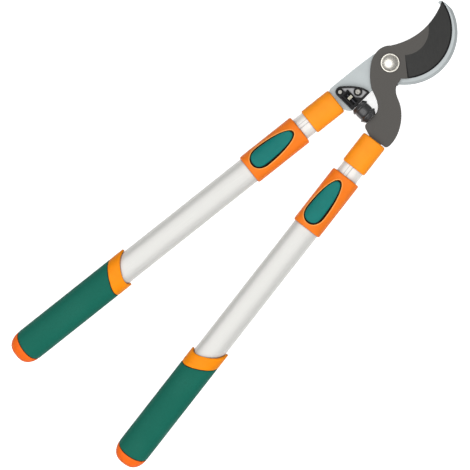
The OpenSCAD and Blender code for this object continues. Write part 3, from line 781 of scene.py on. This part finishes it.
def rivet_button():
    """Flat-headed rivet through the bracket, with a small dimple in its head."""
    low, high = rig.box("bracket_rivet")
    centre = (low + high) / 2
    top, bottom = high.z / MM, low.z / MM
    origin = Vector((centre.x, centre.y, 0))
    profile = [(0, bottom), (3.0, bottom), (3.2, bottom + 0.2), (3.2, bottom + 0.9), (2.0, bottom + 1),
               (2.0, top - 1.3), (3.3, top - 1.3), (3.5, top - 1.1), (3.4, top - 0.5), (3.0, top - 0.12),
               (2.5, top), (1.2, top), (1.0, top - 0.12), (0.6, top - 0.15), (0, top - 0.15)]
    piece = turned("rivet_button", profile, origin, UP, plated, segments=48)
    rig.ride(piece, "hook_side")
    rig.replaces(piece, "bracket_rivet")
    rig.slot(piece, "plated_steel")


# ---------- handle pieces ----------

def ferrule(side):
    """Rounded plastic cap over the tang and the inner tube's end, with a shallow bore round the tube."""
    handle = handles[side]
    start, end = FERRULE_SPAN
    rounding = fillet(FERRULE_ROUNDING)
    bore = (INNER_TUBE[0] + BORE_PLAY, INNER_TUBE[1] + BORE_PLAY)
    sheet = Sheet()
    rings = [handle.ring(FERRULE, start + along, inset) for inset, along in rounding]
    rings += [handle.ring(FERRULE, start + (end - start) * t) for t in (0.25, 0.5, 0.75)]
    rings += [handle.ring(FERRULE, end - along, inset) for inset, along in reversed(rounding)]
    rings += [handle.ring(bore, end), handle.ring(bore, end - 0.4), handle.ring(bore, end - 3, 0.2)]
    first, last = sheet.loft(rings)
    sheet.cap(first)
    sheet.cap(last)
    piece = orient_outward(make_object(f"{side}_ferrule_cap", sheet.verts, sheet.faces, ferrule_orange))
    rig.ride(piece, "hook_side" if side == "left" else "blade_side")
    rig.replaces(piece, f"{side}_ferrule")
    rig.slot(piece, "ferrule_orange")


def collar(side):
    """Collar with an open bore, and a sunken egg-shaped recess in its top, ringed by a raised lip."""
    handle = handles[side]
    start, end = COLLAR_SPAN
    outline = egg_outline(0)
    across_steps, along_steps, low_steps = 16, 24, 44
    edge_angle = math.radians(14)
    top_span = math.pi - 2 * edge_angle
    low_span = math.pi + 2 * edge_angle
    top_angles = [edge_angle + top_span * k / across_steps for k in range(across_steps + 1)]
    low_angles = [math.pi - edge_angle + low_span * k / low_steps for k in range(1, low_steps)]
    section = top_angles + low_angles
    v_first, v_last = start + COLLAR_ROUNDING, end - COLLAR_ROUNDING
    stations = [v_first + (v_last - v_first) * j / along_steps for j in range(along_steps + 1)]
    sheet = Sheet()

    def section_ring(size, v):
        points = [oval_point(size, angle) for angle in section]
        return [handle.place(u, v, z) for u, z in points]

    # rings of the closed section at every station; the top of the middle ones is left open for the recess
    head_ring = sheet.add(section_ring(COLLAR, v_first))
    tail_ring = sheet.add(section_ring(COLLAR, v_last))
    right_edge, left_edge = [head_ring[0]], [head_ring[across_steps]]
    columns = [[head_ring[across_steps]] + head_ring[across_steps + 1:] + [head_ring[0]]]
    for v in stations[1:-1]:
        points = [oval_point(COLLAR, a) for a in [top_angles[-1]] + low_angles + [top_angles[0]]]
        column = sheet.add([handle.place(u, v, z) for u, z in points])
        columns.append(column)
        left_edge.append(column[0])
        right_edge.append(column[-1])
    columns.append([tail_ring[across_steps]] + tail_ring[across_steps + 1:] + [tail_ring[0]])
    right_edge.append(tail_ring[0])
    left_edge.append(tail_ring[across_steps])
    for a, b in zip(columns, columns[1:]):
        sheet.bridge(a, b, closed=False)

    # the rectangle round the recess, walked in the same order as the egg outline
    half = across_steps // 2
    rim = (head_ring[half:0:-1] + right_edge[:-1] + tail_ring[:across_steps]
           + left_edge[:0:-1] + head_ring[across_steps:half:-1])
    rim_uv = []
    for index in rim:
        offset = (Vector(sheet.verts[index]) - handle.origin) / MM
        rim_uv.append((offset.dot(handle.across), offset.dot(handle.down)))

    def lifted(u, v, proud=0.0):
        across, up = oval_normal(COLLAR, u)
        return handle.place(u + across * proud, v, oval_height(COLLAR, u) + up * proud)

    # the raised lip: distance from the outline, most of the way to the rim that it may take, and height
    lip = [(0.0, 0.0, -0.1), (0.35, 0.1, 0.28), (0.8, 0.22, 0.36), (1.4, 0.4, 0.22), (2.2, 0.62, 0.0)]
    rings = []
    for distance, share, proud in lip:
        points = []
        for (u, v), (rim_u, rim_v) in zip(outline, rim_uv):
            reach = math.hypot(rim_u - u, rim_v - v)
            t = min(distance / reach, share)
            points.append(lifted(u + (rim_u - u) * t, v + (rim_v - v) * t, proud))
        rings.append(points)
    for share in (0.25, 0.5, 0.75):
        points = []
        for (u, v), (rim_u, rim_v) in zip(outline, rim_uv):
            reach = math.hypot(rim_u - u, rim_v - v)
            t0 = min(lip[-1][0] / reach, lip[-1][1])
            t = t0 + (1 - t0) * share
            points.append(lifted(u + (rim_u - u) * t, v + (rim_v - v) * t))
        rings.append(points)
    first, last = sheet.loft(rings)
    sheet.bridge(last, rim)
    # painted highlight on the lip round the recess, strongest just inside its crest
    painted_light = {}
    for ring_number, value in enumerate((0.5, 0.75, 0.45, 0.1)):
        for i in range(len(outline)):
            painted_light[first[0] + ring_number * len(outline) + i] = value

    # wall and floor of the recess
    def floor_z(u):
        return max(COLLAR_LEDGE, oval_height(COLLAR_FLOOR, u))

    wall = [[handle.place(u, v, oval_height(COLLAR, u) - 0.7) for u, v in egg_outline(0.1)],
            [handle.place(u, v, floor_z(u) + 0.5) for u, v in egg_outline(0.15)],
            [handle.place(u, v, floor_z(u)) for u, v in egg_outline(0.6)]]
    top, bottom = sheet.loft(wall)
    sheet.bridge(first, top)
    fill_egg(sheet, bottom, egg_outline(0.6), floor_z, handle.place)
    # painted shade over the recess's wall and floor
    painted_light.update({index: -1.0 for index in range(top[0], len(sheet.verts))})

    # two ears for the rocker's pin, and the spring's seat, each standing just clear of the bore
    wide_bore = (INNER_TUBE[0] + 2 * BORE_GAP, INNER_TUBE[1] + 2 * BORE_GAP)
    ear_span = (PRESS_V - EAR_HALF[1], PRESS_V + EAR_HALF[1])
    seat_span = (SEAT_V - SEAT_MARGIN, SPRING_BEND_V + SEAT_MARGIN)
    for u, half_u, v_span, top_z in (
            (PRESS_U - EAR_OFFSET, EAR_HALF[0], ear_span, PRESS_Z + EAR_RISE),
            (PRESS_U + EAR_OFFSET, EAR_HALF[0], ear_span, PRESS_Z + EAR_RISE),
            (PRESS_U, SEAT_HALF_WIDTH, seat_span, SPRING_Z)):
        foot = oval_height(wide_bore, max(abs(u) - half_u, 0.0)) + FOOT_GAP
        block(sheet, handle, (u - half_u, u + half_u), v_span, (foot, top_z))

    # both ends: rounded over, then in to the tube
    bore_rings = []
    for ring, v_end, direction, bore in ((head_ring, start, 1, INNER_TUBE), (tail_ring, end, -1, OUTER_TUBE)):
        previous = ring
        ends = [(COLLAR, inset, along) for inset, along in list(reversed(fillet(COLLAR_ROUNDING)))[1:]]
        ends += [(bore, -0.35, 0.0), (bore, -0.2, 0.35), (bore, -0.1, 3.0)]
        for size, inset, along in ends:
            inner = (size[0] - 2 * inset, size[1] - 2 * inset)
            following = sheet.add(section_ring(inner, v_end + direction * along))
            sheet.bridge(previous, following)
            previous = following
        bore_rings.append(previous)

    # the bore: clear of the inner tube under the recess, then wide enough for the outer tube
    previous = bore_rings[0]
    for tube, gap, v in ((INNER_TUBE, BORE_GAP, start + BORE_MOUTH), (INNER_TUBE, BORE_GAP, BORE_STEP_V),
                         (OUTER_TUBE, OUTER_GAP, BORE_STEP_V)):
        following = sheet.add(section_ring((tube[0] + 2 * gap, tube[1] + 2 * gap), v))
        sheet.bridge(previous, following)
        previous = following
    sheet.bridge(previous, bore_rings[1])
    piece = make_object(f"{side}_slide_collar", sheet.verts, sheet.faces, collar_orange, 42, painted_light)
    orient_outward(piece)
    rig.ride(piece, f"{side}_outer")
    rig.replaces(piece, f"{side}_collar")
    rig.slot(piece, "collar_orange")


def release_button(side):
    """Crowned egg-shaped rocker with a rounded edge and a hollow underside."""
    handle = handles[side]

    def place(u, v, z):
        return handle.place(u + BUTTON_SHIFT, v, z)

    def top_z(u):
        spread = (u - BUTTON_U) / BUTTON_HALF_WIDTH
        return oval_height(BUTTON_TOP, u) - BUTTON_SIDE_FALL * spread * spread

    sheet = Sheet()
    # the rounded edge: how far in from the outline, and how far below the top
    edge = [(0.0, 1.5), (0.05, 1.0), (0.3, 0.5), (0.75, 0.16), (1.4, 0.02)]
    rings = []
    for inset, drop in edge:
        rings.append([place(u, v, top_z(u) - drop) for u, v in egg_outline(BUTTON_GAP + inset)])
    first, last = sheet.loft(rings)
    fill_egg(sheet, last, egg_outline(BUTTON_GAP + edge[-1][0]), top_z, place)
    under_outline = egg_outline(BUTTON_GAP + BUTTON_SKIRT)

    def under_z(u):
        return max(BUTTON_UNDER_LEDGE, oval_height(BUTTON_UNDER, u))

    under = sheet.add([place(u, v, under_z(u)) for u, v in under_outline])
    sheet.bridge(first, under)
    fill_egg(sheet, under, under_outline, under_z, place)
    block(sheet, handle, (PRESS_U - RIB_HALF[0], PRESS_U + RIB_HALF[0]),
          (PRESS_V - RIB_HALF[1], PRESS_V + RIB_HALF[1]),
          (PRESS_Z - RIB_BELOW_PIN, BUTTON_UNDER[1] / 2 + RIB_OVERLAP))
    piece = orient_outward(make_object(f"{side}_rocker_button", sheet.verts, sheet.faces, button_teal, 60))
    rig.ride(piece, f"{side}_button")
    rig.replaces(piece, f"{side}_release_button")
    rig.slot(piece, "button_teal")


def leaf_spring(side):
    """Strip fixed to its seat at one end, its round tip following the button."""
    handle = handles[side]
    bent = 14
    stations = [SEAT_V, SPRING_BEND_V - 1] + [
        SPRING_BEND_V + (SPRING_TIP_V - SPRING_BEND_V) * i / bent for i in range(bent)]
    tip_radius = SPRING_WIDTH / 2
    stations += [SPRING_TIP_V - tip_radius * (1 - share) for share in (0.3, 0.6, 0.85, 0.97)]
    sheet = Sheet()
    rings = []
    for v in sorted(stations):
        climb = max(0.0, (v - SPRING_BEND_V) / (SPRING_TIP_V - SPRING_BEND_V))
        z = SPRING_Z + (SPRING_TIP_Z - SPRING_Z) * climb
        beyond = max(0.0, v - (SPRING_TIP_V - tip_radius))
        half = math.sqrt(tip_radius ** 2 - beyond ** 2)
        rings.append([handle.place(PRESS_U + u, v, z + rise) for u, rise in
                      ((-half, 0), (half, 0), (half, SPRING_THICK), (-half, SPRING_THICK))])
    for ring in sheet.loft(rings):
        sheet.cap(ring)
    piece = orient_outward(make_object(f"{side}_leaf_spring", sheet.verts, sheet.faces, spring_steel))
    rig.blend(piece, f"{side}_outer", f"{side}_button", start=handle.place(PRESS_U, SPRING_BEND_V, SPRING_Z),
             end=handle.place(PRESS_U, SPRING_TIP_V - 1, SPRING_TIP_Z))
    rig.replaces(piece, f"{side}_button_spring")
    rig.slot(piece, "spring_steel")


def dome_scale(v):
    """How far the grip's section has drawn in at v, towards its rounded end."""
    if v <= GRIP_DOME_V:
        return 1.0
    along, across = GRIP_DOME_POWERS
    reach = min(1.0, (v - GRIP_DOME_V) / (GRIP_END - GRIP_DOME_V))
    return max(0.0, math.cos(math.asin(reach ** (1 / along)))) ** across


def grip_ring(handle, boundary, shift=0.0, inset=0.0, size=GRIP):
    """A ring on the grip: boundary(u, z) gives v at each point of the full section."""
    points = []
    for i in range(AROUND):
        angle = math.tau * i / AROUND
        full_u, full_z = oval_point(GRIP, angle)
        v = min(boundary(full_u, full_z) + shift, GRIP_END)
        scale = dome_scale(v)
        u, z = oval_point((size[0] * scale - 2 * inset, size[1] * scale - 2 * inset), angle)
        points.append(handle.place(u, v, z))
    return points


def slanted(base, lean, rise):
    """A boundary across the grip, as a function of u and z."""
    return lambda u, z: base + lean * u + rise * math.hypot(z, BLUNT)


def between(boundary_a, boundary_b, t):
    """A boundary part of the way from one to another."""
    return lambda u, z: boundary_a(u, z) * (1 - t) + boundary_b(u, z) * t


def grip(side):
    """Orange core with a scalloped mouth and a domed cap, and the soft sleeve set into it."""
    handle = handles[side]
    mouth = slanted(MOUTH_V, handle.lean * MOUTH_LEAN, MOUTH_RISE)
    band = slanted(BAND_V, handle.lean * BAND_LEAN, BAND_RISE)
    cap = slanted(CAP_V, handle.lean * CAP_LEAN, CAP_RISE)
    tube = (OUTER_TUBE[0] + BORE_PLAY, OUTER_TUBE[1] + BORE_PLAY)
    core = Sheet()
    rings = [handle.ring(tube, GRIP_BORE_END), grip_ring(handle, mouth, 6, 0, tube),
             grip_ring(handle, mouth, 0.9, 0, tube),
             grip_ring(handle, mouth, 0.25, -0.3, tube), grip_ring(handle, mouth, 0.0, -0.7, tube)]
    rings += [grip_ring(handle, mouth, along, inset) for inset, along in fillet(1.0)]
    rings += [grip_ring(handle, between(mouth, band, t), 0) for t in (0.35, 0.7)]
    rings += [grip_ring(handle, band, -0.6), grip_ring(handle, band, -0.3, 0.2)]
    # painted shade on the six sunk rings under the sleeve, seen in the grooves at its ends
    shaded_rings = range(len(rings), len(rings) + 6)
    rings += [grip_ring(handle, band, -0.1, SLEEVE_SUNK)]
    rings += [grip_ring(handle, between(band, cap, t), 0, SLEEVE_SUNK) for t in (0.25, 0.5, 0.75, 0.9)]
    rings += [grip_ring(handle, cap, 0.1, SLEEVE_SUNK), grip_ring(handle, cap, 0.3, 0.2)]
    rings += [grip_ring(handle, cap, 0.6)]
    for t in (0.12, 0.25, 0.4, 0.55, 0.7, 0.82, 0.9, 0.96, 0.99):
        rings.append(grip_ring(handle, between(cap, lambda u, z: GRIP_END, t), 0.6))
    first, last = core.loft(rings)
    groove_shade = {first[0] + number * AROUND + i: -1.0 for number in shaded_rings for i in range(AROUND)}
    core.cap(first)
    core.cap(last)
    core_piece = make_object(f"{side}_grip_body", core.verts, core.faces, grip_orange, 42, groove_shade)
    orient_outward(core_piece)
    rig.ride(core_piece, f"{side}_outer")
    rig.replaces(core_piece, f"{side}_grip_core")
    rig.slot(core_piece, "grip_orange")

    # the sleeve: its rounded edges as (inset, distance from the boundary), then back underneath
    sleeve = Sheet()
    under = SLEEVE_SUNK - 0.1
    edge = [(under, 0.65), (0.5, 0.7), (0.25, 0.9), (0.07, 1.2), (0.0, 1.8)]
    rings = [grip_ring(handle, band, shift, inset) for inset, shift in edge]
    rings += [grip_ring(handle, between(band, cap, t)) for t in
              (0.06, 0.15, 0.25, 0.35, 0.45, 0.55, 0.65, 0.75, 0.85, 0.93)]
    rings += [grip_ring(handle, cap, -shift, inset) for inset, shift in reversed(edge)]
    rings += [grip_ring(handle, between(band, cap, t), 0, under) for t in (0.95, 0.85, 0.6, 0.4, 0.15, 0.05)]
    first, last = sleeve.loft(rings)
    sleeve.bridge(last, first)
    sleeve_piece = make_object(f"{side}_soft_sleeve", sleeve.verts, sleeve.faces, grip_green, 50)
    orient_outward(sleeve_piece)
    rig.ride(sleeve_piece, f"{side}_outer")
    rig.replaces(sleeve_piece, f"{side}_grip_sleeve")
    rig.slot(sleeve_piece, "grip_green")


pivot_bolt_head()
moulded_bumper()
rivet_button()
for side in SIDES:
    ferrule(side)
    collar(side)
    release_button(side)
    leaf_spring(side)
    grip(side)


# ---------- floor, light and camera ----------

def pale_floor():
    """Pale floor just below the loppers, hidden from their diffuse light."""
    mesh = bpy.data.meshes.new("floor")
    corners = [(x * FLOOR_HALF_SIZE, y * FLOOR_HALF_SIZE) for x, y in ((-1, -1), (1, -1), (1, 1), (-1, 1))]
    mesh.from_pydata([(x, y, -FLOOR_DROP * MM) for x, y in corners], [], [(0, 1, 2, 3)])
    floor = bpy.data.objects.new("floor", mesh)
    bpy.context.scene.collection.objects.link(floor)
    shader = Shader("pale_floor", 0.9, specular=0.1)
    speckle = shader.spread(shader.noise(40, detail=2), 0.3, 0.7)
    shader.set("Base Color", shader.mix(speckle, (0.93, 0.93, 0.93), (0.95, 0.95, 0.95)))
    shader.surface.inputs["Emission Color"].default_value = (1, 1, 1, 1)
    shader.surface.inputs["Emission Strength"].default_value = FLOOR_GLOW
    mesh.materials.append(shader.material)
    floor.visible_diffuse = False
    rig.stage(floor)


def soft_sun(name, source, strength, spread, reflected):
    """A large distant softbox in the direction of source, spread degrees across.

    Unless it is reflected, glossy surfaces don't show it as a highlight."""
    light = bpy.data.lights.new(name, "SUN")
    light.energy = strength
    light.angle = math.radians(spread)
    lamp = bpy.data.objects.new(name, light)
    bpy.context.scene.collection.objects.link(lamp)
    lamp.rotation_euler = Vector(source).to_track_quat("Z", "Y").to_euler()
    lamp.visible_glossy = reflected


def studio():
    """Two soft lamps, and a world that is brighter overhead than at the horizon."""
    soft_sun("overhead", (-0.12, -0.25, 1), strength=2.13, spread=75, reflected=True)
    soft_sun("key", (1.7, -0.2, 0.95), strength=1.0, spread=45, reflected=False)
    world = bpy.data.worlds.new("studio")
    world.use_nodes = True
    bpy.context.scene.world = world
    tree = world.node_tree
    direction = tree.nodes.new("ShaderNodeTexCoord")
    split = tree.nodes.new("ShaderNodeSeparateXYZ")
    ranged = tree.nodes.new("ShaderNodeMapRange")
    for key, value in zip(("From Min", "From Max", "To Min", "To Max"), SKY_HEIGHTS + SKY_STRENGTHS):
        ranged.inputs[key].default_value = value
    background = tree.nodes["Background"]
    background.inputs["Color"].default_value = (1, 1, 1, 1)
    tree.links.new(direction.outputs["Generated"], split.inputs["Vector"])
    tree.links.new(split.outputs["Z"], ranged.inputs["Value"])
    tree.links.new(ranged.outputs["Result"], background.inputs["Strength"])
    bpy.context.scene.view_settings.view_transform = "Standard"


def camera():
    """Straight down from 5.7 m, with the handles running to the lower left of the view."""
    right = Vector((math.sin(CAMERA_TURN), math.cos(CAMERA_TURN), 0))
    above = Vector((-math.cos(CAMERA_TURN), math.sin(CAMERA_TURN), 0))
    data = bpy.data.cameras.new("camera")
    data.sensor_width = 36
    data.lens = data.sensor_width * CAMERA_DISTANCE / CAMERA_FIELD
    data.clip_end = 50
    eye = bpy.data.objects.new("camera", data)
    bpy.context.scene.collection.objects.link(eye)
    matrix = Matrix((right, above, right.cross(above))).transposed().to_4x4()
    handle_plane = (joints["left_button_press"]["pos_m"][2] / MM - PRESS_Z) * MM
    aim = right * CAMERA_AIM_RIGHT + above * CAMERA_AIM_ABOVE
    matrix.translation = aim + UP * (handle_plane + CAMERA_DISTANCE)
    eye.matrix_world = matrix
    bpy.context.scene.camera = eye


pale_floor()
studio()
camera()

with open("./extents.json", "w") as out:
    boxes = {"cad": cad_bounds, "visual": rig.bounds()}
    json.dump({name: [list(corner) for corner in box] for name, box in boxes.items()}, out)
